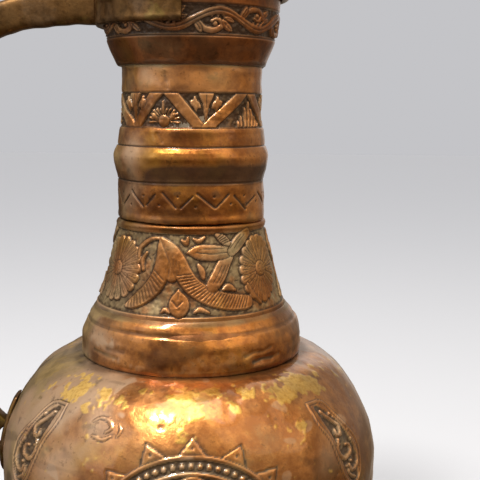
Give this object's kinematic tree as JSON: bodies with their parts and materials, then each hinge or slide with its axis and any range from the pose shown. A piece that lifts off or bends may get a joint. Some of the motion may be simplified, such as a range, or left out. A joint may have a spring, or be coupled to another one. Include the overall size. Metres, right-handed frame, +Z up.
{
  "type": "copper water jug",
  "caption": "Large hand-raised copper water jug: pear-shaped body on a foot ring, banded chased neck, wired mouth cup, cast brass handle clasped round the cup, and a hinged domed lid.",
  "frame": {"origin": "on the jug's axis at the underside of its base, where it stands", "axes": "+Z up along the jug's axis; the handle and the lid's hinge are towards -X; the decorated front faces -Y"},
  "size_m": [0.2828, 0.2306, 0.4948],
  "materials": {
    "copper": "hand-raised, chased and worn copper sheet, warm brown with a dark patina in the recesses",
    "dark_copper": "duller, darker copper sheet with little polish",
    "cast_brass": "rough cast brass with a brown-olive patina and bright worn edges",
    "rivet_copper": "hammered copper rivets, dull with bright crowns",
    "iron": "plain iron wire, dark"
  },
  "bodies": {
    "jug": {"foot_ring": "dark_copper", "base_plate": "dark_copper", "lower_body": "copper", "upper_body": "copper", "torus_collar": "copper", "neck_flare": "copper", "neck_tube": "copper", "mouth_cup": "copper", "rim_wire": "iron", "clasp_collar": "cast_brass", "handle": "cast_brass", "handle_foot_plate": "cast_brass", "foot_plate_rivet_1": "rivet_copper", "foot_plate_rivet_2": "rivet_copper", "foot_plate_rivet_3": "rivet_copper", "hinge_bracket": "cast_brass", "bracket_rivet_1": "rivet_copper", "bracket_rivet_2": "rivet_copper", "hinge_pin": "iron"},
    "lid": {"lid_dome": "copper", "lid_tongue": "dark_copper", "lid_strap": "cast_brass", "strap_rivet_1": "rivet_copper", "strap_rivet_2": "rivet_copper", "lid_finial": "cast_brass"}
  },
  "joints": [
    {"name": "lid_hinge", "type": "hinge", "parent": "jug", "child": "lid", "pos_m": [-0.0662, 0, 0.4318], "axis": [0, -1, 0], "range_deg": [0, 105]}
  ]
}
